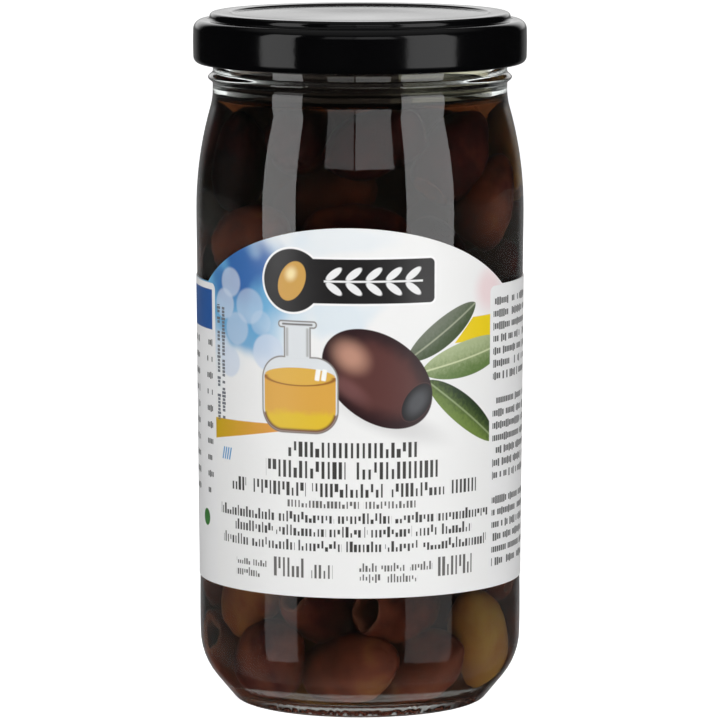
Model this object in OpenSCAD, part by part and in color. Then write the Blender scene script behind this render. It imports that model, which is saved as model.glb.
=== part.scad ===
// Glass jar of pitted olives in oil, with a twist-off metal lid and a paper label.
// Millimetres. The jar stands on the origin, +Z is up and the label's front faces -Y.

/* [Glass body] */
// Widest diameter of the body, where the shoulder starts
body_d = 65.5; // [54:0.5:90]
// How far the body's foot is drawn in from its widest, on the radius
foot_in = 0.55; // [0:0.05:2]
// Height at which the straight foot ends and the body starts to widen
taper_z = 30; // [26:1:45]
// Height of the body, from the table to the start of the shoulder
body_h = 99; // [70:1:160]
// Thickness of the glass in the body
wall = 2.3; // [1.6:0.1:3]

/* [Shoulder and neck] */
// Height of the shoulder
shoulder_h = 24; // [14:0.5:32]
// How far the neck lies inside the body, on the radius
neck_in = 3.35; // [2.5:0.05:8]
// Radius of the hollow curve that leads into the neck
neck_curve_r = 14; // [6:0.5:24]
// Height of the neck, from the end of the shoulder to the rim
neck_h = 14.8; // [13.5:0.1:20]
// Thickness of the glass in the neck
neck_wall = 2.9; // [2.4:0.1:4]
// Height of the transfer bead's middle above the end of the shoulder
bead_up = 2.3; // [1.3:0.1:3]
// Height of the transfer bead
bead_h = 2.4; // [1.2:0.1:2.6]
// How far the transfer bead stands out of the neck
bead_out = 0.95; // [0.4:0.05:1.1]
// Rounding of the rim's two edges
rim_round = 0.9; // [0.4:0.1:1.1]

/* [Base] */
// Height at which the body starts to round in to the heel
heel_z = 13.5; // [11:0.5:20]
// Radius of the heel
heel_r = 13.5; // [8:0.5:14]
// Diameter of the foot, where the heel's slope ends
ring_d = 51.8; // [42:0.2:54]
// Width of the flat ring that the jar stands on
ring_w = 1.5; // [1:0.1:3]
// Rounding between the heel's slope and the flat ring
toe_round = 1.5; // [0.8:0.1:2.5]
// Rise of the base's underside at its middle
push_up = 1.6; // [0.8:0.1:2.4]
// Height of the jar's inside floor above the table
floor_z = 4.2; // [3.6:0.1:6]

/* [Contents] */
// Free height between the level of the oil and the rim
headspace_h = 16.8; // [9:0.2:26]
// Gap between the contents and the side of the glass
fill_gap = 0.1; // [0.02:0.01:0.3]

/* [Lid] */
// Thickness of the lid's sheet metal
lid_t = 0.4; // [0.2:0.05:0.6]
// Height of the lid
lid_h = 10.1; // [8.5:0.1:12]
// Room between the neck and the lid's channel, on the radius
channel_gap = 0.2; // [0.1:0.05:0.6]
// How far the skirt stands out past the raised ring, on the radius
skirt_out = 3.25; // [2.8:0.05:5]
// Depth of the middle of the lid below its raised ring
recess = 0.4; // [0.2:0.05:0.8]
// Width of the slope between the raised ring and the middle
recess_slope = 1.1; // [1:0.1:2]
// Room between the mouth of the jar and the lowered middle, on the radius
recess_gap = 0.3; // [0.2:0.1:1]
// Rounding of the raised ring's outer edge
ring_round = 0.85; // [0.7:0.05:0.9]
// Rounding at the foot of the raised ring
foot_round = 0.6; // [0.3:0.05:0.7]
// Rounding between the ledge and the skirt
shoulder_round = 1.9; // [1:0.1:2]
// Outer radius of the curl under the skirt
curl_r = 1.35; // [0.9:0.05:1.4]
// Turn of the curl, in degrees
curl_turn = 250; // [200:5:260]

/* [Label] */
// Thickness of the label
label_t = 0.15; // [0.1:0.05:0.3]
// Film of glue between the label and the glass
glue_t = 0.05; // [0.02:0.01:0.1]
// Height of the label's lower edge above the table
label_foot_z = 25.3; // [20:0.1:30]
// Distance from the top of the label's arch to the start of the shoulder
label_drop = 0.7; // [0:0.1:6]
// Rise of the arch above the label's side panels
arch_rise = 12.6; // [4:0.2:16]
// Radius of the arch, measured round the jar
arch_r = 57; // [40:0.5:70]
// Open seam between the label's two ends, at the back
seam = 5; // [1:0.5:20]

/* [Hidden] */
$fn = 128;

// Step of the curves that are worked out point by point, in degrees
arc_step = 7.5;
// Room that a cutting shape has beyond what it cuts
over = 1;

// Radii of the glass, outside and inside
body_r = body_d / 2;
foot_r = body_r - foot_in;
neck_r = body_r - neck_in;
mouth_r = neck_r - neck_wall;

// Heights of the glass
neck_z = body_h + shoulder_h;
rim_z = neck_z + neck_h;
bead_z = neck_z + bead_up;
fill_z = rim_z - headspace_h;

// Flat ring and the straight slope from the heel down to it
ring_r = ring_d / 2;
heel_in = ring_r - toe_round - (foot_r - heel_r);
heel_up = heel_z - toe_round;
heel_a = asin((heel_r - toe_round) / norm([heel_in, heel_up])) - atan2(heel_in, heel_up);
ring_bevel = 0.6;

// Lid, from its raised ring outwards and down
riser_r = neck_r + channel_gap + lid_t;
lid_r = riser_r + skirt_out;
ring_z = rim_z + lid_t;
panel_z = ring_z - recess;
ledge_z = ring_z - ring_round - foot_round;
lid_foot_z = ring_z - lid_h;
recess_r = mouth_r - recess_gap;

// Label
label_peak_z = body_h - label_drop;
label_side_z = label_peak_z - arch_rise;
arch_half = sqrt(pow(arch_r, 2) - pow(arch_r - arch_rise, 2));

// Points of an arc round c with radius r, from angle a to angle b
function arc(c, r, a, b) =
    let (n = max(2, ceil(abs(b - a) / arc_step)))
    [for (i = [0:n]) c + r * [cos(a + (b - a) * i / n), sin(a + (b - a) * i / n)]];

// Upright S-curve that steps in by a width and up by a height, rounded by its two radii.
// It starts at p, bulges first and ends hollow, with the hollow's radius given.
function s_up(p, width, height, hollow_r) =
    let (
        turn = 2 * atan(width / height),
        bulge_r = height / sin(turn) - hollow_r,
        n = 10
    )
    concat(
        [for (i = [0:n]) let (a = turn * i / n) p + bulge_r * [cos(a) - 1, sin(a)]],
        [for (i = [n - 1:-1:0]) let (a = turn * i / n)
            p + [hollow_r * (1 - cos(a)) - width, height - hollow_r * sin(a)]]
    );

// Level S-curve that steps outwards by a width and up by a height, in two equal arcs.
// The lower, hollow arc grows by grow and the upper one shrinks by it.
function s_out(p, width, height, grow) =
    let (
        turn = 2 * atan(height / width),
        r = width / sin(turn) / 2,
        n = 5
    )
    concat(
        [for (i = [0:n]) let (a = turn * i / n) p + (r + grow) * [sin(a), 1 - cos(a)]],
        [for (i = [n - 1:-1:0]) let (a = turn * i / n)
            p + [width - (r - grow) * sin(a), height - (r - grow) * (1 - cos(a))]]
    );

function reverse(list) = [for (i = [len(list) - 1:-1:0]) list[i]];

// Radius of the body's outside at a height between the heel and the shoulder
function wall_r(z) = foot_r + foot_in * max(0, z - taper_z) / (body_h - taper_z);

// Outside of the glass, from the middle of the base up to the rim
function glass_outside() = concat(
    base_underside(),
    arc([ring_r - toe_round, toe_round], toe_round, -90, -heel_a),
    arc([foot_r - heel_r, heel_z], heel_r, -heel_a, 0),
    [[foot_r, taper_z]],
    s_up([body_r, body_h], neck_in, shoulder_h, neck_curve_r),
    bead(),
    arc([neck_r - rim_round, rim_z - rim_round], rim_round, 0, 90)
);

// Shallow dome under the base, which ends in a bevel down to the flat ring
function base_underside() =
    let (
        edge_r = ring_r - toe_round - ring_w - ring_bevel,
        rise = push_up - ring_bevel,
        dome_r = (pow(edge_r, 2) + pow(rise, 2)) / (2 * rise),
        n = 8
    )
    concat(
        [for (i = [0:n]) let (r = edge_r * i / n)
            [r, push_up - dome_r + sqrt(pow(dome_r, 2) - pow(r, 2))]],
        [[edge_r + ring_bevel, 0]]
    );

// Half-round bead on the neck, drawn as one arch of a cosine
function bead() =
    [for (i = [0:12]) let (u = i / 12)
        [neck_r + bead_out * (1 - cos(360 * u)) / 2, bead_z + bead_h * (u - 0.5)]];

// Inside of the glass from the floor up to a height above the shoulder, drawn in by gap
function glass_inside(gap, top_z) =
    let (
        corner_r = heel_z - floor_z,
        side_r = foot_r - wall - gap,
        upper_r = body_r - wall - gap
    )
    concat(
        [[0, floor_z]],
        arc([side_r - corner_r, heel_z], corner_r, -90, 0),
        [[side_r, taper_z]],
        s_up([upper_r, body_h], upper_r - mouth_r + gap, shoulder_h, neck_curve_r),
        [[mouth_r - gap, top_z]]
    );

// One face of the lid's sheet, from the middle to the tip of the curl, depth below the top face
function lid_face(depth) = concat(
    [[0, panel_z - depth]],
    s_out([recess_r - recess_slope, panel_z - depth], recess_slope, recess, depth),
    arc([riser_r - ring_round, ring_z - ring_round], ring_round - depth, 90, 0),
    arc([riser_r + foot_round, ledge_z + foot_round], foot_round + depth, 180, 270),
    arc([lid_r - shoulder_round, ledge_z - shoulder_round], shoulder_round - depth, 90, 0),
    arc([lid_r - curl_r, lid_foot_z + curl_r], curl_r - depth, 0, -curl_turn)
);

module jar() {
    color([0.74, 0.8, 0.77, 0.4])
        rotate_extrude()
            polygon(concat(
                glass_outside(),
                arc([mouth_r + rim_round, rim_z - rim_round], rim_round, 90, 180),
                reverse(glass_inside(0, neck_z + over))
            ));
}

// Olives and oil as one filling, up to the level of the oil
module contents() {
    color([0.16, 0.07, 0.04])
        intersection() {
            rotate_extrude()
                polygon(concat(glass_inside(fill_gap, rim_z), [[0, rim_z]]));
            cylinder(r = body_r, h = fill_z);
        }
}

module lid() {
    color([0.05, 0.05, 0.055])
        rotate_extrude()
            polygon(concat(lid_face(0), reverse(lid_face(lid_t))));
}

// Paper wrapped round the jar, as high as the top of the arch, with its seam at the back
module label_wrap() {
    heights = [label_foot_z, taper_z, label_peak_z];
    inside = [for (z = heights) [wall_r(z) + glue_t, z]];
    outside = [for (z = heights) [wall_r(z) + glue_t + label_t, z]];
    seam_a = seam / body_r * 180 / PI;
    rotate([0, 0, 90 + seam_a / 2])
        rotate_extrude(angle = 360 - seam_a)
            polygon(concat(inside, reverse(outside)));
}

// Outline of the arch seen from the front: a circle's arc bent round the jar
module arch_outline() {
    lap = 5;
    n = 32;
    points = [for (i = [-n:n])
        let (s = arch_half * i / n, a = s / body_r * 180 / PI)
        [body_r * sin(a), label_side_z + sqrt(pow(arch_r, 2) - pow(s, 2)) - arch_r + arch_rise]];
    polygon(concat(points, [[points[2 * n].x, label_side_z - lap], [points[0].x, label_side_z - lap]]));
}

module label() {
    color([0.93, 0.93, 0.92])
        intersection() {
            label_wrap();
            union() {
                cylinder(r = body_r + over, h = label_side_z);
                rotate([90, 0, 0])
                    linear_extrude(body_r + over)
                        arch_outline();
            }
        }
}

jar();
contents();
lid();
label();
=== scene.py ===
"""Glass jar of pitted olives in oil, with a black twist-off lid and a printed paper label.

Metres. The jar stands on the origin, +Z is up and the label's front faces -Y.
"""
import math

import bpy
import numpy as np
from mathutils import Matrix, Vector, noise


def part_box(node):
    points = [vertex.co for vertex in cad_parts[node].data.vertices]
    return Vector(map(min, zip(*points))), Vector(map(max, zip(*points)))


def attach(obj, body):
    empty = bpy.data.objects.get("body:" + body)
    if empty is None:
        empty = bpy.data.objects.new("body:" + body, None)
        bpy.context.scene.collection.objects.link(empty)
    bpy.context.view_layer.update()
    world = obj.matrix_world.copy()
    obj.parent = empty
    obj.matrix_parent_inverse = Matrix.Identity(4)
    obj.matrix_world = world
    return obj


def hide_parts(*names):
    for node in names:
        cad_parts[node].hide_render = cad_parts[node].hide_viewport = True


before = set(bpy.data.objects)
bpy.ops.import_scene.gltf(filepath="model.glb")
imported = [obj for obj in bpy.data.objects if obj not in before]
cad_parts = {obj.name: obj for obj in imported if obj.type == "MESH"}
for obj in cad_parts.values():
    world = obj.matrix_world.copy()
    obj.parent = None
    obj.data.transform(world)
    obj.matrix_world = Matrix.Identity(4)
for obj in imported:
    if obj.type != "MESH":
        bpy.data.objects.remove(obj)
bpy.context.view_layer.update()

MM = 0.001
TINY = 1e-6

# Camera: its distance from the jar's axis, its height, and its turn round the jar from the label's front.
# Then the height on the axis that it looks at, and its lens in millimetres.
CAMERA_AWAY = 1.082
CAMERA_UP = 0.2105
CAMERA_TURN = math.radians(3.75)
AIM_UP = 0.0682
LENS = 271.6

# Steps round the jar of the turned pieces
GLASS_TURNS = 384
OIL_TURNS = 192
LID_TURNS = 192

# Most that the points of a turned outline lie apart: on glass and oil, and on the lid
GLASS_STEP = 2.5 * MM
LID_STEP = 1.5 * MM

# Corners stay sharp above these: turns of an outline, edges of a mesh, and edges of an olive
SHARP_TURN = math.radians(25)
SHARP_EDGE = math.radians(38)
SHARP_EDGE_OLIVE = math.radians(70)


# ---- shader maths ----

class Socket:
    """An output socket of a finish. The usual operators on it add Math nodes."""

    def __init__(self, finish, socket):
        self.finish = finish
        self.socket = socket

    def math(self, operation, *values):
        return self.finish.math(operation, self, *values)

    def other(self, name):
        return Socket(self.finish, self.socket.node.outputs[name])

    def larger(self, value):
        return self.math("MAXIMUM", value)

    def smaller(self, value):
        return self.math("MINIMUM", value)

    def whole(self):
        return self.math("FLOOR")

    def __add__(self, value):
        return self.math("ADD", value)

    __radd__ = __add__

    def __sub__(self, value):
        return self.math("SUBTRACT", value)

    def __rsub__(self, value):
        return self.finish.math("SUBTRACT", value, self)

    def __mul__(self, value):
        return self.math("MULTIPLY", value)

    __rmul__ = __mul__

    def __truediv__(self, value):
        return self.math("DIVIDE", value)

    def __pow__(self, value):
        return self.math("POWER", value)

    def __neg__(self):
        return self.math("MULTIPLY", -1)

    def __abs__(self):
        return self.math("ABSOLUTE")

    def __gt__(self, value):
        return self.math("GREATER_THAN", value)

    def __lt__(self, value):
        return self.math("LESS_THAN", value)


class Finish:
    """A material, or the studio's light, put together node by node."""

    def __init__(self, owner):
        owner.use_nodes = True
        self.owner = owner
        self.tree = owner.node_tree
        self.tree.nodes.clear()

    def node(self, kind, settings=None, inputs=None, out=0):
        """Adds a node: its settings first, then the values or links of its sockets."""
        node = self.tree.nodes.new(kind)
        for name, value in (settings or {}).items():
            if name == "stops":
                fill_ramp(node.color_ramp, value)
            else:
                setattr(node, name, value)
        for name, value in (inputs or {}).items():
            if isinstance(value, Socket):
                self.tree.links.new(value.socket, node.inputs[name])
            else:
                node.inputs[name].default_value = value
        return Socket(self, node.outputs[out]) if node.outputs else node

    def math(self, operation, *values):
        return self.node("ShaderNodeMath", {"operation": operation}, dict(enumerate(values)))

    def mix(self, share, first, second):
        """Colour between first and second."""
        settings = {"data_type": "RGBA", "clamp_factor": True}
        return self.node("ShaderNodeMix", settings, {0: share, 6: first, 7: second}, out=2)

    def spread(self, value, low, high, to_low=0.0, to_high=1.0):
        """Value taken smoothly from low..high to to_low..to_high, and held beyond them."""
        inputs = {"Value": value, "From Min": low, "From Max": high, "To Min": to_low, "To Max": to_high}
        return self.node("ShaderNodeMapRange", {"interpolation_type": "SMOOTHSTEP"}, inputs)

    def noise(self, scale, detail=2.0, roughness=0.5, distortion=0.0):
        """Cloudy values round a half that lie fixed on the piece."""
        inputs = {"Vector": self.place(), "Scale": scale, "Detail": detail, "Roughness": roughness,
                  "Distortion": distortion}
        return self.node("ShaderNodeTexNoise", {"noise_dimensions": "3D"}, inputs, out="Fac")

    def chance(self, x, y, z=0.0):
        """A chance value from 0 to 1 for each cell, with a chance colour beside it."""
        cell = self.node("ShaderNodeCombineXYZ", None, {0: x, 1: y, 2: z})
        return self.node("ShaderNodeTexWhiteNoise", {"noise_dimensions": "3D"}, {0: cell}, out="Value")

    def place(self):
        """Position on the piece, in metres."""
        return self.node("ShaderNodeTexCoord", out="Object")

    def surface(self, inputs):
        """Makes these values and links the finish of the surface."""
        shader = self.node("ShaderNodeBsdfPrincipled", None, inputs)
        self.node("ShaderNodeOutputMaterial", None, {"Surface": shader})

    def bump(self, height, distance, strength):
        inputs = {"Height": height, "Distance": distance, "Strength": strength}
        return self.node("ShaderNodeBump", None, inputs)


def fill_ramp(ramp, stops):
    while len(ramp.elements) < len(stops):
        ramp.elements.new(0.5)
    for element, (position, colour) in zip(ramp.elements, stops):
        element.position = position
        element.color = colour


def new_finish(name):
    return Finish(bpy.data.materials.new(name))


def ink(red, green, blue):
    """Colour from its 0 to 255 values on a screen."""
    def linear(value):
        share = value / 255
        return share / 12.92 if share <= 0.04045 else ((share + 0.055) / 1.055) ** 2.4
    return (linear(red), linear(green), linear(blue), 1.0)


# ---- shapes from the frame ----

def half_section(node):
    """Radius and height of a turned CAD node's outline, from axis to axis, the lower end first."""
    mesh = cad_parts[node].data
    points = {}
    for vertex in mesh.vertices:
        if abs(vertex.co.y) < TINY and vertex.co.x > -TINY:
            points[vertex.index] = (round(vertex.co.x, 6), round(vertex.co.z, 6))
    joined = {}
    for edge in mesh.edges:
        first, second = (points.get(index) for index in edge.vertices)
        if first and second and first != second:
            joined.setdefault(first, set()).add(second)
            joined.setdefault(second, set()).add(first)
    ends = [point for point in joined if len(joined[point]) == 1]
    line = [min(ends, key=lambda point: point[1])]
    while True:
        ahead = [point for point in joined[line[-1]] if point not in line]
        if not ahead:
            break
        line.append(min(ahead, key=lambda point: math.dist(point, line[-1])))
    if line[0][0] > TINY:
        line.insert(0, (0.0, line[0][1]))
    if line[-1][0] > TINY:
        line.append((0.0, line[-1][1]))
    return line


def finer(line, step):
    """The line with points added on a smooth curve, at most step(point) apart, its sharp corners kept."""
    points = [Vector(point) for point in line]
    count = len(points)

    def direction(index):
        before = points[index] - points[max(index - 1, 0)]
        after = points[min(index + 1, count - 1)] - points[index]
        if before.length < TINY or after.length < TINY:
            return None
        if before.angle(after) > SHARP_TURN:
            return None
        return (before.normalized() + after.normalized()).normalized()

    made = []
    for index in range(count - 1):
        start = points[index]
        end = points[index + 1]
        span = (end - start).length
        straight = (end - start).normalized()
        leave = (direction(index) or straight) * span
        reach = (direction(index + 1) or straight) * span
        parts = max(1, math.ceil(span / step(start)))
        for part in range(parts):
            t = part / parts
            made.append(start * (2 * t**3 - 3 * t**2 + 1) + leave * (t**3 - 2 * t**2 + t)
                        + end * (3 * t**2 - 2 * t**3) + reach * (t**3 - t**2))
    made.append(points[-1])
    return [(max(point.x, 0.0), max(point.y, 0.0)) for point in made]


def new_mesh(name, vertices, faces, crease=SHARP_EDGE):
    """A mesh object, smooth but for edges sharper than the crease."""
    mesh = bpy.data.meshes.new(name)
    mesh.from_pydata([tuple(vertex) for vertex in vertices], [], faces)
    mesh.validate()
    mesh.shade_smooth()
    mesh.set_sharp_from_angle(angle=crease)
    piece = bpy.data.objects.new(name, mesh)
    bpy.context.scene.collection.objects.link(piece)
    return piece


def all_round(line, angle):
    """The first and the second number of a line's points, each repeated for every angle."""
    first, second = np.array(line).T[:, :, None] + 0 * angle
    return first, second


def turned(name, line, turns, shape=None):
    """A closed shape made by turning a line round the jar's axis, from axis to axis.

    shape takes radius, height and angle as arrays and gives the new radius and height.
    """
    middle = line[1:-1]
    angle = np.arange(turns) * 2 * math.pi / turns
    radius, height = all_round(middle, angle)
    if shape:
        radius, height = shape(radius, height, angle[None, :] + 0 * radius)
    rings = np.stack([radius * np.cos(angle), radius * np.sin(angle), height], axis=-1)
    vertices = [(0, 0, line[0][1])] + rings.reshape(-1, 3).tolist() + [(0, 0, line[-1][1])]
    last = len(vertices) - 1
    faces = []
    for turn in range(turns):
        after = (turn + 1) % turns
        faces.append((0, 1 + after, 1 + turn))
        for ring in range(len(middle) - 1):
            low = 1 + ring * turns
            high = low + turns
            faces.append((low + turn, low + after, high + after, high + turn))
        top = 1 + (len(middle) - 1) * turns
        faces.append((top + turn, top + after, last))
    return new_mesh(name, vertices, faces)


def ring_of(face, turns):
    """Which point of its line a turned piece's face starts from."""
    return max(min(face.vertices) - 1, 0) // turns + 1


def as_piece(piece, slot, finish, *nodes):
    """Gives a piece its finish, and has it stand for its CAD nodes."""
    piece.data.materials.append(finish.owner)
    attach(piece, "root")
    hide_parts(*nodes)


# ---- glass ----

# The beaded rim of the foot: its top, its distance from the axis and how finely its outline is cut, then
# the beads' middle and half height, their distance from the axis, number and depth
RIM_TOP = 3.6 * MM
RIM_START = 27 * MM
RIM_STEP = 0.35 * MM
BEADS_Z = 1.4 * MM
BEADS_HALF = 2.0 * MM
BEADS_START = 20 * MM
BEADS = 90
BEAD_DEPTH = 0.3 * MM

# The glass waves from this height on, and fully so after this rise
WAVES_FROM = 6 * MM
WAVES_GROW = 8 * MM

# Points of the jar's outline past its top that still belong to the dry lip
LIP_POINTS = 4

# Tints of reflections: bare glass or oil; where oil touches glass, as the two bend light almost alike and
# hardly any is thrown back; and glass with much or little oil splashed on it, dimmed further as painted
# shade
BARE = (1, 1, 1, 1)
WETTED = (0, 0, 0, 1)
OILY = (0.16, 0.13, 0.11, 1)
RINSED = (0.8, 0.76, 0.6, 1)

# What light keeps of its colour after two faces of such glass. The two browns above the oil are partly the
# splashed oil's tint and partly painted shade: the thick one is almost black, far darker than a film of
# oil
CLEAR = (0.93, 0.975, 0.955, 1)
OIL_FILM_AND_SHADE_BROWN = (0.05, 0.037, 0.028, 1)
THIN_FILM_AND_SHADE_YELLOW = (0.42, 0.39, 0.28, 1)

# How far to the right, as a share of the radius, the thick film of splashed oil and painted shade still
# reaches;
# past it the right of the neck gets the paler film, so that side is painted lighter
DARK_FILM_TO = 0.22


def waviness(angle, height):
    """How far the inside of the blown glass strays from true, in metres."""
    slow = np.sin(2 * angle + 0.7 + height * 31) + 0.6 * np.sin(3 * angle - 1.1 - height * 57)
    quick = np.sin(7 * angle + 2.1 + height * 90) * np.cos(height * 240 + 5 * angle)
    return (0.055 * slow + 0.03 * quick) * MM * np.clip((height - WAVES_FROM) / WAVES_GROW, 0, 1)


def mouth_of(line):
    """Which point of the jar's outline is its highest."""
    return max(range(len(line)), key=lambda index: line[index][1])


def inside_line(line):
    """The part of the jar's outline from its floor up to the mouth, starting on the axis."""
    return line[:mouth_of(line):-1]


def oil_level():
    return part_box("contents")[1].z


def glass_step(point):
    """How far apart points of the jar's outline may lie: close together on the beaded rim."""
    on_rim = point.y < RIM_TOP and point.x > RIM_START
    return RIM_STEP if on_rim else GLASS_STEP


def make_jar():
    line = finer(half_section("jar"), glass_step)
    mouth = mouth_of(line)
    inner = np.arange(len(line))[1:-1, None] > mouth

    def blown(radius, height, angle):
        outer_foot = ~inner & (height < RIM_TOP) & (radius > BEADS_START)
        band = np.clip(1 - np.abs(height - BEADS_Z) / BEADS_HALF, 0, 1)
        beads = outer_foot * band * knurl(angle, height) * BEAD_DEPTH
        return radius + waviness(angle, height) * inner - beads, height

    piece = turned("jar_glass", line, GLASS_TURNS, blown)
    as_piece(piece, "clear_glass", glass("clear_glass"), "jar")
    wetted, oily, rinsed = 1, 2, 3
    # Above the oil the glass gets two films of splashed oil, both darkened as painted shade: the thick,
    # near-black one on the left and middle of the neck, the paler one on its right
    for finish in (glass("wetted_glass", WETTED),
                   glass("oily_shaded_glass", OILY, OIL_FILM_AND_SHADE_BROWN),
                   glass("rinsed_shaded_glass", RINSED, THIN_FILM_AND_SHADE_YELLOW)):
        piece.data.materials.append(finish.owner)
    level = oil_level()
    for face in piece.data.polygons:
        ring = ring_of(face, GLASS_TURNS)
        if ring < mouth + LIP_POINTS:
            continue
        if line[ring][1] < level:
            face.material_index = wetted
        else:
            face.material_index = oily if thick_dark_film(face.center) else rinsed


def knurl(angle, height):
    """Depth, 0 to 1, of the uneven beads and pits pressed into the foot's rim."""
    lean = 5 * np.sin(7 * angle + 1)
    lift = 3 * np.sin(17 * angle)
    beads = np.cos(BEADS * angle + lean) * np.cos(height / MM * 2.4 + lift)
    worn = 0.6 + 0.4 * np.sin(11 * angle + 2 * np.sin(3 * angle))
    pits = np.random.default_rng(5).uniform(-0.3, 0.3, angle.shape)
    return np.clip(0.45 + 0.5 * beads * worn + pits, 0, 1)


def thick_dark_film(place):
    """Whether the glass above the oil gets the thick film here: splashed oil made near black as painted
    shade, kept off the right side, which is left lighter.
    """
    around = Vector((place.x, place.y)).normalized()
    drift = noise.noise(Vector((around.x * 3, around.y * 3, place.z * 150)))
    return around.x * 0.9 + around.y * 0.1 + drift * 0.45 < DARK_FILM_TO


def glass(name, reflection=BARE, colour=CLEAR):
    finish = new_finish(name)
    finish.surface({
        "Base Color": colour, "Roughness": 0.0, "IOR": 1.52,
        "Transmission Weight": 1.0, "Specular Tint": reflection})
    return finish


# ---- oil ----

# How far the oil reaches into the glass, so that no air is left between them, and the height over which
# its underside does so
INTO_GLASS = 0.12 * MM
INTO_FLOOR_WITHIN = 2 * MM

# The meniscus: how high the oil climbs the glass, how quickly that dies away, the gap at its thin edge,
# and the rings that it is made of, which crowd towards the glass
CLIMB = 1.1 * MM
CLIMB_REACH = 1.3 * MM
CLIMB_EDGE = 0.02 * MM
CLIMB_RINGS = 14
CLIMB_CROWDING = 1.6


def make_oil():
    """Oil that fills the jar into its wall, with a meniscus where it climbs the glass."""
    level = oil_level()
    wall_line = inside_line(finer(half_section("jar"), lambda point: GLASS_STEP))
    line = [point for point in wall_line if point[1] < level]
    floor = line[0][1] - INTO_GLASS
    line[0] = (0.0, floor)
    edge = line[-1][0]
    line.append((edge - CLIMB_EDGE, level + CLIMB))
    sides = len(line)
    for ring in range(1, CLIMB_RINGS + 1):
        away = 4 * CLIMB_REACH * (ring / CLIMB_RINGS) ** CLIMB_CROWDING
        line.append((edge - away, level + CLIMB * math.exp(-away / CLIMB_REACH)))
    line += [(edge * share, level) for share in (0.7, 0.45, 0.2)]
    line.append((0.0, level))
    wall = np.arange(len(line))[1:-1, None] < sides

    def filled(radius, height, angle):
        low = np.clip(1 - (height - floor) / INTO_FLOOR_WITHIN, 0, 1) * wall
        return radius + wall * (waviness(angle, height) + INTO_GLASS), height - low * INTO_GLASS

    piece = turned("oil", line, OIL_TURNS, filled)
    as_piece(piece, "olives_in_oil", dark_oil("oil_surface"), "contents")
    piece.data.materials.append(dark_oil("oil_on_glass", WETTED).owner)
    for face in piece.data.polygons:
        if ring_of(face, OIL_TURNS) < sides:
            face.material_index = 1


def dark_oil(name, reflection=BARE):
    """Oil dark with what the olives gave off, and a little cloudy."""
    finish = new_finish(name)
    shader = finish.node("ShaderNodeBsdfPrincipled", None, {
        "Base Color": (1, 1, 1, 1), "Roughness": 0.0, "IOR": 1.46, "Transmission Weight": 1.0,
        "Specular Tint": reflection})
    depth = finish.node("ShaderNodeVolumeAbsorption", None, {
        "Color": (0.60, 0.38, 0.18, 1), "Density": 135.0})
    haze = finish.node("ShaderNodeVolumeScatter", None, {
        "Color": (1, 0.94, 0.86, 1), "Density": 14.0, "Anisotropy": 0.2})
    body = finish.node("ShaderNodeAddShader", None, {0: depth, 1: haze})
    finish.node("ShaderNodeOutputMaterial", None, {"Surface": shader, "Volume": body})
    return finish


# ---- olives ----

# Number of olives, and half the length and half the width of an ordinary one
OLIVES = 112
LONG = 10.6 * MM
WIDE = 6.5 * MM

# Olives laid one by one against the glass: degrees right of the camera's line, millimetres from the axis
# and up, the lie (around, out and up, from pit hole to tip) and the tone, 0 dark to 1 golden
LAID = (
    (-4, 24, 96, (1.0, 0.0, 0.1), 0.38),
    (-18, 19, 104, (0.9, 0.0, 0.5), 0.42),
    (-56, 24, 97, (0.5, 0.0, 0.8), 0.55),
    (-50, 24, 109, (0.1, 0.0, 1.0), 0.02),
    (62, 24, 108, (0.25, 0.0, 1.0), 0.5),
    (84, 24, 112, (0.6, 0.0, 0.7), 0.95),
    (-58, 24, 22, (0.7, 0.1, 0.6), 0.75),
    (-34, 23, 11, (1.0, -0.2, 0.15), 0.42),
    (-14, 22, 21, (0.8, -0.5, -0.25), 0.4),
    (11, 20.5, 17.5, (0.15, -1.0, 0.1), 0.42),
    (52, 24, 16, (-0.15, 0.1, 1.0), 0.95),
    (-10, 23, 10, (1.0, 0.0, 0.1), 0.5),
    (32, 23, 10, (0.75, 0.2, 0.6), 0.52),
    (-80, 23, 113, (1.0, 0.0, 0.2), 0.1),
    (-24, 20, 113.5, (1.0, 0.0, 0.0), 0.15),
    (14, 19, 113.5, (1.0, -0.3, 0.0), 0.12),
    (42, 22, 113.5, (0.9, 0.0, 0.2), 0.2))


# An olive is settled as three balls in a row. Their sizes, from pit hole to tip, are shares of its width.
BALLS = (0.8, 1.0, 0.76)

# Settling: its rounds, and how many at the end are free of the laid places; how far olives sink in the
# first round, and how quickly that fades; and the shares of an overlap, of a rise above the oil and of the
# way to a laid place that one step makes good
ROUNDS = 520
FREE_ROUNDS = 60
SINK = 0.16 * MM
SINK_FADE = 1.3
PUSH = 0.32
PUSH_DOWN = 0.6
PULL = 0.12

# Room that is kept clear below the oil's level, the round between the wall and the floor of the jar, and
# how much narrower than its widest part the jar is there
UNDER_OIL = 1.0 * MM
HEEL = 9.3 * MM
HEEL_IN = 0.55 * MM

# Points round an olive, rings along it from its tip to the lip of its pit hole, and how far the tip stands
# out of the first ring, as a share of half the length
AROUND = 26
SKIN_RINGS = 24
TIP = 0.006


def inner_wall():
    """Heights and radii of the inside of the glass."""
    wall = np.array(inside_line(half_section("jar"))[1:])
    return wall[:, 1].copy(), wall[:, 0].copy()


def unit(rows):
    return rows / np.linalg.norm(rows, axis=1)[:, None]


def scattered(floor, top, widest):
    """Seeded middles, directions, half lengths and half widths of the olives before they settle."""
    rng = np.random.default_rng(11)
    long = LONG * rng.uniform(0.92, 1.1, OLIVES)
    wide = WIDE * rng.uniform(0.92, 1.08, OLIVES)
    angle = rng.uniform(0, 2 * math.pi, OLIVES)
    away = np.sqrt(rng.uniform(0, 1, OLIVES)) * (widest - WIDE)
    up = np.linspace(floor + WIDE, top * 1.35, OLIVES)
    middle = np.stack([away * np.cos(angle), away * np.sin(angle), up], axis=1)
    axis = unit(rng.normal(size=(OLIVES, 3)) * (1, 1, 0.7))
    return middle, axis, long, wide


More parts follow.
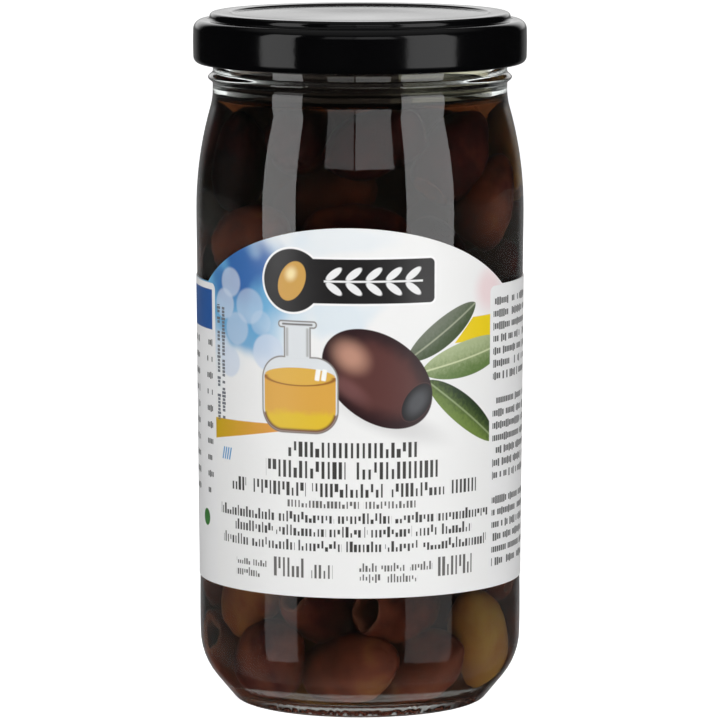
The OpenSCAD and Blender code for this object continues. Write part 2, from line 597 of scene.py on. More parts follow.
def settle():
    """Middles, directions, half lengths and half widths of the olives, sunk and pressed apart."""
    heights, radii = inner_wall()
    floor = heights[0]
    top = oil_level() - UNDER_OIL
    heel_z = floor + HEEL
    heel_r = radii.max() - HEEL_IN - HEEL
    middle, axis, long, wide = scattered(floor, top, radii.max())
    balls = wide[:, None] * BALLS
    steps = np.stack([-(long - balls[:, 0]), 0 * long, long - balls[:, 2]], axis=1)
    laid = len(LAID)
    for index, (turn, away, up, lie, _) in enumerate(LAID):
        out = seen_from_camera(turn, 1, 0)
        around = Vector((-out.y, out.x, 0))
        middle[index] = out * away * MM + Vector((0, 0, up * MM))
        axis[index] = (around * lie[0] + out * lie[1] + Vector((0, 0, lie[2]))).normalized()
        long[index] = LONG
        wide[index] = WIDE
    wanted = middle[:laid].copy()
    wanted_lie = axis[:laid].copy()
    owner = np.repeat(np.arange(OLIVES), len(BALLS))
    apart = owner[:, None] != owner[None, :]
    size = balls.reshape(-1)
    reach = size[:, None] + size[None, :]
    for turn in range(ROUNDS):
        middle[:, 2] -= SINK * max(0.0, 1 - turn / ROUNDS * SINK_FADE)
        place = (middle[:, None, :] + axis[:, None, :] * steps[:, :, None]).reshape(-1, 3)
        for _ in range(2):
            gap = place[:, None, :] - place[None, :, :]
            distance = np.linalg.norm(gap, axis=2) + 1e-9
            overlap = np.clip(reach - distance, 0, None) * apart
            place += PUSH * (gap / distance[:, :, None] * overlap[:, :, None]).sum(axis=1)
            radial = np.linalg.norm(place[:, :2], axis=1) + 1e-9
            allowed = np.interp(place[:, 2], heights, radii) - size
            place[:, :2] *= np.minimum(1, allowed / radial)[:, None]
            low = (place[:, 2] < heel_z) & (radial > heel_r)
            to_heel = np.stack([radial - heel_r, place[:, 2] - heel_z], axis=1)
            out = np.linalg.norm(to_heel, axis=1) + 1e-9
            back = np.clip(out - (HEEL - size), 0, None) * low
            place[:, :2] *= (1 - back * to_heel[:, 0] / out / radial)[:, None]
            place[:, 2] -= back * to_heel[:, 1] / out
            place[:, 2] = np.maximum(place[:, 2], floor + size)
            place[:, 2] += PUSH_DOWN * np.minimum(0, top - size - place[:, 2])
        trio = place.reshape(OLIVES, len(BALLS), 3)
        axis = unit(trio[:, 2] - trio[:, 0])
        middle = trio.mean(axis=1) - axis * steps.mean(axis=1)[:, None]
        if turn < ROUNDS - FREE_ROUNDS:
            middle[:laid] += PULL * (wanted - middle[:laid])
            axis[:laid] += PULL * wanted_lie
            axis = unit(axis)
    return middle, axis, long, wide


def olive_line(rng):
    """Share of the length along, share of the width out, for an olive from its tip into its pit hole."""
    lip = 0.86 + rng.uniform(-0.03, 0.02)
    point = rng.uniform(0.05, 0.22)
    line = []
    for ring in range(1, SKIN_RINGS + 1):
        turn = ring / SKIN_RINGS * math.acos(-lip)
        along = math.cos(turn)
        out = math.sin(turn) * (1 - point * along * abs(along))
        line.append((along, out))
    mouth = line[-1][1] * rng.uniform(0.62, 0.8)
    line.append((-lip - 0.015, (line[-1][1] + mouth) / 2))
    line.append((-lip + 0.03, mouth))
    for depth in (0.12, 0.35, 0.7, 1.1, 1.4):
        line.append((-lip + depth, mouth * (1 - 0.08 * depth)))
    return line


def olive_points(line, long, wide, rng):
    """Points of one olive that lies along Z: a little bent and flat, with a ragged pit hole and dents."""
    turn = np.arange(AROUND) * 2 * math.pi / AROUND
    along, out = all_round(line, turn)
    hole = np.arange(len(line))[:, None] >= SKIN_RINGS
    ragged = 1 + 0.13 * np.cos(3 * turn + rng.uniform(0, 6)) + 0.08 * np.cos(5 * turn + rng.uniform(0, 6))
    out = np.where(hole, out * ragged, out)
    bend = rng.uniform(-0.16, 0.16)
    flat = rng.uniform(0.88, 1.0)
    local = np.stack([out * np.cos(turn) * wide * flat,
                      out * np.sin(turn) * wide / flat,
                      along * long], axis=-1).reshape(-1, 3)
    local[:, 0] += bend * (local[:, 2] ** 2) / long
    return dented(local, long, rng)


def olive_faces(start, rings):
    """Faces of one olive. From start on, its points are its rings, its tip and the pit hole's end."""
    tip = start + rings * AROUND
    faces = []
    for step in range(AROUND):
        after = (step + 1) % AROUND
        faces.append((tip, start + step, start + after))
        for ring in range(rings - 1):
            low = start + ring * AROUND
            faces.append((low + step, low + AROUND + step, low + AROUND + after, low + after))
        low = start + (rings - 1) * AROUND
        faces.append((low + step, tip + 1, low + after))
    return faces


def store(piece, name, values):
    """Keeps a value for each point of a piece, for its finish to read."""
    attribute = piece.data.attributes.new(name, "FLOAT", "POINT")
    attribute.data.foreach_set("value", values)


def make_olives():
    """Pitted olives that fill the oil, joined as one mesh."""
    middles, axes, longs, wides = settle()
    rng = np.random.default_rng(23)
    heights, radii = inner_wall()
    vertices = []
    faces = []
    tones = []
    flesh = []
    for index in range(OLIVES):
        line = olive_line(rng)
        local = olive_points(line, longs[index], wides[index], rng)
        up = Vector(axes[index])
        spin = up.to_track_quat("Z", "Y").to_matrix()
        placed = local @ np.array(spin).T + middles[index]
        placed = pressed(placed, heights, radii)
        tip = Vector(placed[:AROUND].mean(axis=0)) + up * (longs[index] * TIP)
        end = Vector(placed[-AROUND:].mean(axis=0))
        rings = len(line)
        faces += olive_faces(len(vertices), rings)
        vertices += placed.tolist() + [tuple(tip), tuple(end)]
        if index < len(LAID):
            tone = LAID[index][4]
        else:
            # Painted light: olives lower in the jar get a paler, more golden tone, as though more light
            # reached them there; the rest of the tone is random
            painted_light_low_down = 1 - middles[index][2] / heights[-1]
            tone = rng.uniform(0, 0.35) + rng.uniform(0.1, 0.7) * painted_light_low_down
        tones += [tone] * (rings * AROUND + 2)
        flesh += [0.0] * (SKIN_RINGS * AROUND) + [1.0] * ((rings - SKIN_RINGS) * AROUND) + [0.0, 1.0]
    piece = new_mesh("olives", vertices, faces, SHARP_EDGE_OLIVE)
    store(piece, "tone", tones)
    store(piece, "flesh", flesh)
    as_piece(piece, "olives_in_oil", olive_skin(), "contents")


def dented(local, long, rng):
    """The olive's points with the soft dents and creases of cured flesh."""
    shift = Vector(rng.uniform(-50, 50, 3))
    made = []
    for point in local:
        here = Vector(point) / long
        broad = noise.noise(here * 1.3 + shift)
        crease = abs(noise.noise(Vector((here.x * 3.2, here.y * 3.2, here.z * 1.2)) + shift))
        made.append(point * (0.98 + 0.13 * broad - 0.05 * math.exp(-crease * 10)))
    return np.array(made)


def pressed(placed, heights, radii):
    """The olive's points held inside the glass, softly flattened against wall and floor."""
    clear = 0.25 * MM
    give = 0.45 * MM
    placed[:, 2] = heights[0] + clear + soft_part(placed[:, 2] - heights[0] - clear, give)
    allowed = np.interp(placed[:, 2], heights, radii) - clear
    radial = np.linalg.norm(placed[:, :2], axis=1)
    held = allowed - soft_part(allowed - radial, give)
    placed[:, :2] *= (held / radial)[:, None]
    return placed


def soft_part(room, give):
    """Room where there is some, going smoothly to nothing where there is none."""
    return give * np.logaddexp(0, room / give)


def olive_skin():
    """Cured skin from purple-brown to golden, cloudy, with paler flesh at the pit hole. Its stored tone
    also holds painted light, paler and more golden for olives lower in the jar.
    """
    finish = new_finish("olive_skin")

    def stored(name):
        return finish.node("ShaderNodeAttribute", {"attribute_type": "GEOMETRY", "attribute_name": name},
                           out="Fac")

    cloud = finish.noise(110.0, 2.0, 0.45)
    fleck = finish.noise(520.0, 3.0, 0.6)
    shade = stored("tone") + (cloud - 0.5) * 0.75 + (fleck - 0.5) * 0.15
    colour = finish.node("ShaderNodeValToRGB", {"stops": [
        (0.0, ink(34, 12, 13)),
        (0.3, ink(86, 36, 33)),
        (0.55, ink(146, 78, 58)),
        (0.8, ink(190, 126, 74)),
        (1.0, ink(206, 160, 88))]}, {0: shade})
    colour = finish.mix(stored("flesh") * 0.5, colour, ink(196, 140, 118))
    wrinkle = finish.noise(900.0, 4.0, 0.6, 0.4)
    finish.surface({
        "Base Color": colour, "Roughness": finish.spread(cloud, 0.3, 0.7, 0.36, 0.52),
        "Specular IOR Level": 0.1,
        "Normal": finish.bump(wrinkle, 0.2 * MM, 0.5)})
    return finish


# ---- lid ----

def make_lid():
    line = finer(half_section("lid"), lambda point: LID_STEP)
    piece = turned("lid_cap", line, LID_TURNS)
    as_piece(piece, "black_lacquer", black_lacquer(), "lid")


def black_lacquer():
    """Glossy black lacquer with a faint orange peel, smeared a little by hands."""
    finish = new_finish("black_lacquer")
    peel = finish.noise(700.0)
    smear = finish.noise(60.0, 3.0)
    finish.surface({
        "Base Color": finish.mix(smear, ink(3, 3, 4), ink(9, 9, 10)),
        "Roughness": finish.spread(smear, 0.3, 0.7, 0.08, 0.14), "Specular IOR Level": 0.22,
        "Normal": finish.bump(peel, 0.02 * MM, 0.5)})
    return finish


# ---- label ----

# Radius of the label's printed face, round which places in its print are measured
LABEL_R = 32.6 * MM

# The paper follows the jar, which widens a little from its foot to its shoulder: the radius at the foot,
# the heights between which it grows and by how much, and the radius at which the arch was cut flat
PAPER_FOOT_R = 32.4 * MM
PAPER_GROWS_FROM = 30 * MM
PAPER_GROWS_TO = 99 * MM
PAPER_GROWS = 0.55 * MM
PAPER_FLAT_R = 32.75 * MM
PAPER_THICK = 0.15 * MM
PAPER_RIPPLE = 0.03 * MM

# Radius of the arch over the label's front
ARCH_R = 57 * MM

# Steps across and up the paper
COLUMNS = 480
ROWS_UP = 56


def label_shape():
    """Heights of the label's foot, sides and peak, and how far round its ends lie, from its CAD node."""
    low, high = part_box("label")
    points = np.array([vertex.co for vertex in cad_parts["label"].data.vertices])
    side = points[points[:, 1] > 0, 2].max()
    ends = np.abs(np.arctan2(points[:, 0], -points[:, 1])).max()
    return low.z, side, high.z, ends


def paper_face():
    """Points of the label's printed face, column by column from its left end."""
    foot, side, peak, ends = label_shape()
    rise = peak - side
    half = math.sqrt(ARCH_R**2 - (ARCH_R - rise) ** 2)
    face = np.zeros((COLUMNS + 1, ROWS_UP + 1, 3))
    for column in range(COLUMNS + 1):
        turn = ends * (2 * column / COLUMNS - 1)
        across = turn * PAPER_FLAT_R
        top = side
        if abs(across) < half:
            top = math.sqrt(ARCH_R**2 - across**2) - ARCH_R + peak
        for row in range(ROWS_UP + 1):
            height = foot + (top - foot) * row / ROWS_UP
            share = max(0.0, height - PAPER_GROWS_FROM) / (PAPER_GROWS_TO - PAPER_GROWS_FROM)
            radius = PAPER_FOOT_R + share * PAPER_GROWS
            radius += PAPER_RIPPLE * noise.noise(Vector((across * 60, height * 60, 3.0)))
            face[column, row] = (radius * math.sin(turn), -radius * math.cos(turn), height)
    return face


def make_label():
    outer = paper_face()
    radial = np.linalg.norm(outer[:, :, :2], axis=2)[:, :, None]
    inner = outer.copy()
    inner[:, :, :2] *= (radial - PAPER_THICK) / radial
    count = (COLUMNS + 1) * (ROWS_UP + 1)
    vertices = outer.reshape(-1, 3).tolist() + inner.reshape(-1, 3).tolist()
    faces = []

    def at(column, row):
        return column * (ROWS_UP + 1) + row

    def edge(first, second, flip):
        quad = (first, second, count + second, count + first)
        faces.append(quad[::-1] if flip else quad)

    for column in range(COLUMNS):
        for row in range(ROWS_UP):
            quad = (at(column, row), at(column + 1, row), at(column + 1, row + 1), at(column, row + 1))
            faces.append(quad)
            faces.append(tuple(count + index for index in reversed(quad)))
        for row in (0, ROWS_UP):
            edge(at(column, row), at(column + 1, row), row == 0)
    for row in range(ROWS_UP):
        for column in (0, COLUMNS):
            edge(at(column, row), at(column, row + 1), column > 0)
    piece = new_mesh("label_wrap", vertices, faces)
    as_piece(piece, "label_paper", printed_paper(), "label")


# ---- print ----

class Print:
    """The label's print, laid down colour over colour.

    Places are millimetres round the jar from the label's middle, and up from the table. A shape is
    a distance in millimetres to its edge, which is negative inside it.
    """

    def __init__(self, finish):
        x = finish.node("ShaderNodeSeparateXYZ", None, {0: finish.place()}, out="X")
        self.finish = finish
        self.across = finish.math("ARCTAN2", x, -x.other("Y")) * (LABEL_R / MM)
        self.up = x.other("Z") / MM
        self.colour = ink(240, 240, 239)

    def lay(self, share, colour):
        self.colour = self.finish.mix(share, self.colour, colour)

    def cover(self, distance, soft=0.09):
        """1 inside a shape and 0 outside, over a soft edge."""
        return self.finish.spread(distance, soft, -soft)

    def fill(self, distance, colour, soft=0.09):
        self.lay(self.cover(distance, soft), colour)

    def local(self, centre, lean=0.0):
        """Places along and across a direction that leans up from level, from a centre."""
        side = self.across - centre[0]
        rise = self.up - centre[1]
        return leaning(side, rise, lean) if lean else (side, rise)

    def box(self, centre, size, corner=0.0, lean=0.0):
        side, rise = self.local(centre, lean)
        side = abs(side) - (size[0] / 2 - corner)
        rise = abs(rise) - (size[1] / 2 - corner)
        return length(side.larger(0), rise.larger(0)) + side.larger(rise).smaller(0) - corner

    def oval(self, centre, radii, lean=0.0):
        side, rise = self.local(centre, lean)
        return (length(side / radii[0], rise / radii[1]) - 1) * min(radii)

    def words(self, left, right, top, rows, pitch, tall, letter, blank_every=0, upright=False):
        """Rows of small blocks, broken into groups, where reading matter would stand.

        pitch is a row's height, and tall and letter are a block's height and width. Of every so many
        rows one can be blank, and the rows can read upwards.
        """
        finish = self.finish
        along, rise = (self.up, -self.across) if upright else (self.across, self.up)
        line = (top - rise) / pitch
        row = line.whole()
        step = along / letter
        column = step.whole()
        chance = finish.chance(column, row, top)
        middle = abs(line - row - 0.5) * pitch
        height = tall * (0.42 + 0.16 * (chance > 0.72))
        mark = (middle < height) * ((step - column) > 0.24) * (chance > 0.16)
        mark = mark * (row > -0.5) * (row < rows - 0.5) * (along > left) * (along < right)
        if blank_every:
            mark = mark * (row.math("MODULO", blank_every) < blank_every - 1.5)
        return mark


def leaning(side, rise, lean):
    """The place along and across a direction that leans up from level by an angle in degrees."""
    turn = math.radians(lean)
    return side * math.cos(turn) + rise * math.sin(turn), rise * math.cos(turn) - side * math.sin(turn)


def length(side, rise):
    return (side * side + rise * rise).math("SQRT")


# Pale discs of light: middle, radius and strength
DISCS = (
    ((-26.8, 86.4), 2.9, 0.6), ((-21.5, 82.1), 3.5, 0.45), ((-28.8, 82.0), 3.0, 0.65),
    ((-25.0, 77.4), 3.2, 0.5), ((-16.9, 73.3), 3.6, 0.8), ((-30.3, 73.8), 2.6, 0.4),
    ((-18.6, 79.0), 2.4, 0.35), ((-27.2, 70.6), 3.0, 0.7))


def sky_and_light(sheet):
    """Out-of-focus blue with pale discs of light, which fades to white to the right and below."""
    finish = sheet.finish
    drift = finish.noise(75.0)
    patch = finish.noise(160.0, 1.0, 0.4)

    def blot(centre, radii, lean, ragged, edge, strength, colour):
        """A ragged oval of colour, whose soft edge runs between two shares of its radii."""
        side, rise = sheet.local(centre, lean)
        far = length(side / radii[0], rise / radii[1]) + ragged
        sheet.lay(finish.spread(far, *edge) * strength, colour)

    blot((-27.0, 87.0), (17.0, 15.0), 0, (drift - 0.5) * 1.1, (1.35, 0.75), 0.55, ink(186, 216, 236))
    blot((-27.0, 87.0), (17.0, 15.0), 0, (drift - 0.5) * 1.1, (1.0, 0.45), 1.0, ink(104, 172, 214))
    blot((-24.0, 89.0), (11.0, 8.5), 12, (patch - 0.5) * 1.5, (1.15, 0.35), 0.9, ink(38, 92, 166))
    blot((-23.5, 76.5), (8.0, 4.5), -20, (patch - 0.5) * 1.2, (1.2, 0.5), 0.85, ink(74, 156, 206))
    blot((-1.0, 96.0), (12.0, 3.2), 0, (drift - 0.5) * 1.6, (1.1, 0.5), 0.22, ink(196, 219, 235))
    blot((-3.0, 81.0), (9.0, 5.0), 0, (patch - 0.5) * 1.6, (1.1, 0.4), 0.4, ink(190, 217, 234))
    for centre, radius, share in DISCS:
        sheet.lay(sheet.cover(sheet.oval(centre, (radius, radius)), 0.35) * share, ink(205, 217, 234))
    blot((31.0, 85.0), (5.0, 5.5), 0, 0.0, (1.1, 0.3), 0.55, ink(236, 196, 200))


def ribbons(sheet):
    """A yellow band behind the leaves and a golden one that tapers away below the carafe."""
    slant = 0.94
    left_end = sheet.up * slant + (21.8 - 75.1 * slant)
    middle = 77.6 + (sheet.across - 28) * 0.03
    yellow = (left_end - sheet.across).larger(abs(sheet.up - middle) - 2.35)
    sheet.fill(yellow, ink(236, 206, 8))
    share = (sheet.across + 32.1) / 18.2
    middle = 56.9 + 1.7 * share
    taper = abs(sheet.up - middle) - (2.05 - 1.35 * share)
    gold = taper.larger(sheet.across + 12.5)
    sheet.fill(gold, sheet.finish.mix(share, ink(203, 166, 18), ink(224, 152, 62)))


def leaf(sheet, base, tip, half, dark, light, rib):
    """One olive leaf from base to tip, with half its width each side of the midrib and one side pale."""
    finish = sheet.finish
    reach = math.dist(base, tip)
    along, over = sheet.local(base, math.degrees(math.atan2(tip[1] - base[1], tip[0] - base[0])))
    share = along / reach
    swell = (share * (1 - share) * 4).larger(0) ** 0.6
    shape = abs(over) - (swell * (half + 0.1) - 0.1)
    grain = finish.noise(1500.0, 3.0)
    tint = finish.spread(over / half + (grain - 0.5) * 1.2, -0.9, 0.9)
    sheet.fill(shape, finish.mix(tint, light, dark))
    sheet.fill((abs(over) - 0.16).larger(shape), rib, 0.14)


def leaves(sheet):
    leaf(sheet, (11.5, 72.2), (27.0, 82.7), 2.75, ink(110, 118, 100), ink(62, 80, 44), ink(160, 166, 142))
    leaf(sheet, (14.5, 69.8), (36.5, 74.2), 3.5, ink(172, 184, 140), ink(98, 124, 66), ink(204, 212, 170))
    leaf(sheet, (15.6, 68.0), (33.2, 54.8), 2.9, ink(40, 58, 32), ink(112, 136, 62), ink(146, 162, 118))


def carafe(sheet):
    """A small carafe, two thirds full of golden oil."""
    finish = sheet.finish
    middle = -10.4
    lip_up = 79.2
    oil_up = 68.9
    lip = sheet.box((middle, lip_up), (7.9, 1.2), 0.55)
    neck = sheet.box((middle, 75.9), (5.4, 7.2), 0.3)
    body = sheet.box((-10.15, 65.3), (16.0, 14.9), 4.6)
    outline = lip.smaller(neck).smaller(body)
    sheet.fill(outline, ink(222, 226, 229))
    sheet.fill(abs(outline) - 0.14, ink(128, 122, 118), 0.14)
    sheet.fill(sheet.box((middle, lip_up), (6.4, 0.35), 0.17), ink(90, 86, 84), 0.2)
    for side in (-2.15, 2.15):
        sheet.fill(sheet.box((middle + side, 75.7), (0.5, 5.6), 0.2), ink(178, 178, 178), 0.25)
    surface = sheet.oval((-10.15, oil_up), (7.4, 1.75))
    inside = (body + 0.45).larger(surface.smaller(sheet.up - oil_up))
    drift = finish.noise(420.0)
    height = finish.spread(sheet.up, 59.5, 64.5) + (drift - 0.5) * 0.7
    oil = finish.mix(finish.spread(height, 0.2, 0.7), ink(226, 190, 40), ink(221, 166, 66))
    sheet.fill(inside, oil)
    sheet.fill(surface.larger(body + 0.5), ink(224, 176, 70))
    front = (abs(surface) - 0.12).larger(sheet.up - oil_up).larger(body + 0.4)
    sheet.fill(front, ink(156, 98, 30), 0.12)
    sheet.fill((abs(body + 0.4) - 0.3).larger(sheet.up - 61.5), ink(120, 76, 44), 0.35)
    for side in (-6.2, -4.9):
        sheet.fill(sheet.box((side, 69.4), (0.95, 2.3), 0.2, -8), ink(250, 250, 246), 0.15)


def printed_olive(sheet):
    """One large pitted olive with its pit hole towards the lower right."""
    finish = sheet.finish
    centre = (5.7, 68.7)
    lean = -36.6
    radii = (12.3, 8.3)
    shadow = sheet.oval((8.5, 60.2), (9.5, 2.6), -20)
    sheet.lay(finish.spread(shadow, 1.6, -1.6) * 0.3, ink(150, 148, 150))
    shape = sheet.oval(centre, radii, lean)
    drift = finish.noise(240.0)
    depth = shape + (drift - 0.5) * 2.4
    flesh = finish.mix(finish.spread(depth, -0.2, -4.2), ink(46, 22, 26), ink(92, 50, 46))
    along, over = sheet.local(centre, lean)
    glow = length((along + 3.5) / 5.6, (over + 5.0) / 2.2)
    flesh = finish.mix(finish.spread(glow, 1.2, 0.2) * 0.55, flesh, ink(132, 86, 84))
    shine = length((along + 7.0) / 4.6, (over - 0.4) / 3.4)
    flesh = finish.mix(finish.spread(shine, 1.25, 0.15) * 0.9, flesh, ink(196, 146, 124))
    sheet.fill(shape, flesh)
    hole = sheet.oval((13.5, 63.9), (2.5, 4.1), lean)
    dark = finish.mix(finish.spread(hole, 0.0, -1.8), ink(30, 28, 32), ink(78, 80, 84))
    sheet.fill(hole, dark)
    sheet.fill((abs(hole) - 0.1).larger(0.2 - hole), ink(120, 92, 88), 0.14)


def name_plate(sheet):
    """A black plate with a round end, outlined in white, with plain ovals for ornament."""
    finish = sheet.finish
    up = 87.85
    plate = sheet.box((3.0, up), (28.2, 8.7), 1.0)
    disc = sheet.oval((-11.45, 87.8), (6.2, 6.2))
    shape = plate.smaller(disc)
    sheet.fill(shape - 0.42, ink(248, 248, 248))
    sheet.fill(shape, ink(30, 28, 29))
    middle = (-11.5, 87.7)
    lean = -24
    along, over = sheet.local(middle, lean)
    shine = finish.spread(length((along + 0.7) / 1.8, (over - 1.2) / 2.2), 1.0, 0.1)
    gold = finish.mix(shine, ink(206, 158, 74), ink(246, 226, 170))
    sheet.fill(sheet.oval(middle, (2.7, 4.1), lean), gold)
    pitch = 3.9
    step = (sheet.across + 4.9) / pitch
    side = (step - step.whole() - 0.5) * pitch
    spray = abs(sheet.up - up) - 0.2
    for lean in (38, -38):
        rise = sheet.up - up - math.copysign(1.45, lean)
        along, over = leaning(side, rise, lean)
        spray = spray.smaller((length(along / 1.9, over / 0.72) - 1) * 0.72)
    ends = abs(sheet.across - 4.85) - 2.5 * pitch
    sheet.fill(spray.larger(ends), ink(236, 236, 236))


# Rows of reading matter below the picture: lowest and highest place, width of a stroke and its gap,
# share of taller strokes, and the words' ends
ROWS = (
    (53.1, 56.1, 1.15, 0.0, ((-12.8, 13.6),)),
    (48.9, 52.3, 1.15, 0.0, ((-17.5, -0.7), (1.3, 18.0))),
    (45.3, 48.0, 1.0, 0.0, ((-26.7, -22.7), (-20.7, -8.7), (-7.4, 6.6), (8.4, 19.5), (20.9, 27.5))),
    (40.1, 41.6, 0.82, 0.3, ((-30.6, -15.7), (-14.8, -3.0), (-2.2, 8.4), (9.1, 17.1), (17.9, 31.1))),
    (37.4, 38.9, 0.82, 0.3, ((-25.9, -16.0), (-15.2, -4.6), (-3.9, 2.3), (3.0, 3.6), (4.3, 12.5),
                             (13.2, 18.1), (18.9, 26.4))),
    (34.5, 36.0, 0.82, 0.3, ((-29.8, -22.0), (-21.3, -11.1), (-10.3, -1.5), (-0.7, 6.3), (7.1, 13.9),
                             (14.7, 30.6))))
SMALL_ROWS = (
    (43.1, 44.5, 0.75, 0.0, ((-12.7, 1.9), (2.8, 13.4))),
    (30.6, 31.8, 0.62, 0.3, ((-25.6, -21.7), (-20.9, -17.6), (2.0, 5.5), (6.2, 11.0), (12.2, 16.9))),
    (28.4, 29.6, 0.62, 0.3, ((-25.6, -19.2), (2.1, 6.2), (7.6, 13.8))),
    (29.1, 32.9, 1.0, 0.0, ((-15.8, -9.2), (18.1, 26.5))),
    (29.1, 31.8, 0.9, 0.0, ((-7.6, -3.3),)))


def word_row(sheet, low, high, stroke, tall_share, ends):
    """Upright strokes, some taller than the rest, in groups where words would stand."""
    finish = sheet.finish
    step = sheet.across / stroke
    chance = finish.chance(step.whole(), low)
    colour = chance.other("Color")
    breadth = finish.node("ShaderNodeSeparateColor", None, {0: colour}, out="Green")
    shorter = breadth.other("Blue")
    rise = high - low
    top = high + (chance < tall_share) * (0.4 * rise) - (shorter > 0.78) * (0.42 * rise)
    bottom = low + (shorter < 0.16) * (0.4 * rise)
    body = abs(step - step.whole() - 0.5) * stroke - (0.17 + 0.2 * breadth) * stroke
    body = body.larger(sheet.up - top).larger(bottom - sheet.up)
    words = [abs(sheet.across - (left + right) / 2) - (right - left) / 2 for left, right in ends]
    nearest = words[0]
    for word in words[1:]:
        nearest = nearest.smaller(word)
    return sheet.cover(body.larger(nearest), 0.06)


def reading_matter(sheet):
    """Strokes in place of the words: headings, lines below them and the row at the foot."""
    for row in ROWS:
        sheet.lay(word_row(sheet, *row), ink(58, 56, 54))
    for row in SMALL_ROWS:
        sheet.lay(word_row(sheet, *row), ink(98, 96, 94))
    sheet.lay(sheet.words(58.6, 81.6, 32.0, 2, 1.75, 1.1, 0.7, upright=True), ink(112, 116, 124))
    for stripe in range(4):
        sheet.fill(sheet.box((-29.6 + stripe * 0.75, 52.2), (0.38, 2.5), 0.0, -14), ink(70, 148, 204))


def side_panels(sheet):
    """White panels on both sides, with a blue field, a green dot and small reading matter."""
    reach = 80.0
    grey = ink(92, 92, 92)
    for middle in (31.4 + reach / 2, -32.5 - reach / 2):
        sheet.fill(sheet.box((middle, 45.0), (reach, 81.0), 1.3), ink(240, 240, 240))
    sheet.fill(sheet.box((-45.8, 80.2), (24.0, 8.0)), ink(44, 92, 160))
    for left, right, blank_every in ((32.5, 58.0, 8), (64.0, 94.0, 6), (-94.0, -64.0, 9)):
        sheet.lay(sheet.words(left, right, 83.6, 22, 2.48, 1.35, 0.78, blank_every), grey)
    for left, right in ((-36.6, -33.9), (-57.6, -42.0)):
        sheet.lay(sheet.words(left, right, 75.2, 10, 3.3, 1.2, 0.75), grey)
    sheet.fill(sheet.oval((-37.6, 38.2), (1.7, 1.7)), ink(66, 128, 62))


def printed_paper():
    """Satin paper with its print."""
    finish = new_finish("printed_paper")
    sheet = Print(finish)
    sky_and_light(sheet)
    ribbons(sheet)
    leaves(sheet)
    printed_olive(sheet)
    carafe(sheet)
    name_plate(sheet)
    reading_matter(sheet)
    side_panels(sheet)
    fibre = finish.noise(1200.0, 3.0)
    sheen = finish.noise(90.0)
    finish.surface({
        "Base Color": sheet.colour, "Roughness": finish.spread(sheen, 0.3, 0.7, 0.36, 0.46),
        "Normal": finish.bump(fibre, 0.012 * MM, 0.4)})
    return finish


# ---- studio ----

def seen_from_camera(turn_right, away, up):
    """A point round the jar, turned to the right of the camera's line by an angle in degrees."""
    turn = CAMERA_TURN + math.radians(turn_right)
    return Vector((away * math.sin(turn), -away * math.cos(turn), up))


def aim(thing, target):
    thing.rotation_mode = "QUATERNION"
    thing.rotation_quaternion = (target - thing.location).to_track_quat("-Z", "Y")


def make_camera():
    camera = bpy.data.objects.new("camera", bpy.data.cameras.new("camera"))
    bpy.context.scene.collection.objects.link(camera)
    camera.location = seen_from_camera(0, CAMERA_AWAY, CAMERA_UP)
    camera.data.lens = LENS
    camera.data.sensor_width = 36
    camera.data.clip_end = 50
    aim(camera, Vector((0, 0, AIM_UP)))
    bpy.context.scene.camera = camera


# Distance of the lights from the jar's axis
LIGHTS_AWAY = 0.9


def soft_box(name, left, right, low, high, power, mirrored=True):
    """An upright light that spans two turns from the camera's line and two heights."""
    middle = (left + right) / 2
    centre = (low + high) / 2
    width = 2 * LIGHTS_AWAY * math.tan(math.radians(right - left) / 2)
    light = bpy.data.lights.new(name, "AREA")
    light.shape = "RECTANGLE"
    light.size = width
    light.size_y = high - low
    light.energy = power * math.pi * width * (high - low)
    lamp = bpy.data.objects.new(name, light)
    bpy.context.scene.collection.objects.link(lamp)
    lamp.location = seen_from_camera(middle, LIGHTS_AWAY, centre)
    aim(lamp, Vector((0, 0, centre)))
    lamp.visible_camera = False
    lamp.visible_glossy = mirrored
    lamp.visible_transmission = False


def make_floor():
    """Pale floor that glows for the eye and through the glass, and isn't mirrored."""
    corners = [(-3, -3, 0), (3, -3, 0), (3, 3, 0), (-3, 3, 0)]
    floor = new_mesh("floor", corners, [(0, 1, 2, 3)])
    finish = new_finish("pale_floor")
    camera = finish.node("ShaderNodeLightPath", out="Is Camera Ray")
    inside_glass = camera.other("Is Transmission Ray")
    glow = finish.mix(camera * 0.95 + inside_glass, (0, 0, 0, 1), (1, 1, 1, 1))
    finish.surface({
        "Base Color": (0.8, 0.8, 0.8, 1), "Roughness": 1.0, "Specular IOR Level": 0.0,
        "Emission Color": glow, "Emission Strength": 1.0})
    floor.data.materials.append(finish.owner)
    floor.visible_glossy = False


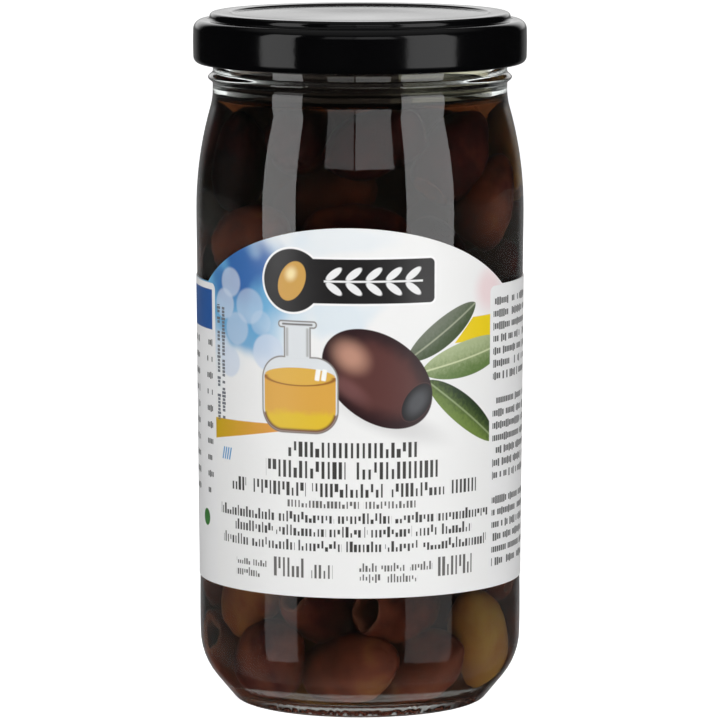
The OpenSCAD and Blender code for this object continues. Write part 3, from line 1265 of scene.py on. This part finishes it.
def make_surround():
    """White all round for the eye, with a bright back and a dim front for what the jar reflects."""
    world = bpy.data.worlds.new("studio")
    bpy.context.scene.world = world
    finish = Finish(world)
    way = finish.node("ShaderNodeTexCoord", out="Generated")
    behind = -seen_from_camera(0, 1, 0)
    facing = finish.node("ShaderNodeVectorMath", {"operation": "DOT_PRODUCT"},
                         {0: way, 1: tuple(behind)}, out="Value")
    up = finish.node("ShaderNodeSeparateXYZ", None, {0: way}, out="Z")
    back = finish.spread(facing, 0.8, 0.95)
    above = finish.spread(up, -0.02, 0.12)
    overhead = finish.spread(up, 0.6, 0.95)
    camera = finish.node("ShaderNodeLightPath", out="Is Camera Ray")
    matt = camera.other("Is Diffuse Ray")
    through = camera.other("Is Transmission Ray")
    front = finish.spread(facing, -0.3, -0.8)
    seen = 0.012 + back * (0.2 + above) * (1 - through * 0.7) + overhead * 0.4 + front * through * 0.12
    strength = seen + (0.2 - seen) * matt
    strength = strength + (1 - strength) * camera
    light = finish.node("ShaderNodeBackground", None, {"Color": (1, 1, 1, 1), "Strength": strength})
    finish.node("ShaderNodeOutputWorld", None, {"Surface": light})


def make_studio():
    make_camera()
    soft_box("left_box", -71, -45, -0.085, 0.9, 3.0)
    soft_box("left_box_foot", -71, -45, -0.35, -0.085, 0.85)
    soft_box("right_box", 32, 68, -0.085, 0.9, 3.0)
    soft_box("right_box_foot", 32, 68, -0.35, -0.085, 0.6)
    soft_box("front_box_left", -25, -4.5, 0.28, 0.75, 1.0)
    soft_box("front_box_right", -3.3, 24, 0.28, 0.75, 1.6)
    soft_box("front_fill", -36, 8, 0.0, 0.6, 0.95, mirrored=False)
    soft_box("back_fill", 140, 220, 0.1, 0.8, 0.9, mirrored=False)
    make_floor()
    make_surround()
    scene = bpy.context.scene
    scene.view_settings.view_transform = "Standard"
    scene.view_settings.look = "None"
    scene.cycles.max_bounces = 24
    scene.cycles.transmission_bounces = 20
    scene.cycles.glossy_bounces = 10
    scene.cycles.volume_bounces = 4
    scene.cycles.use_denoising = True


make_studio()
make_jar()
make_oil()
make_olives()
make_lid()
make_label()
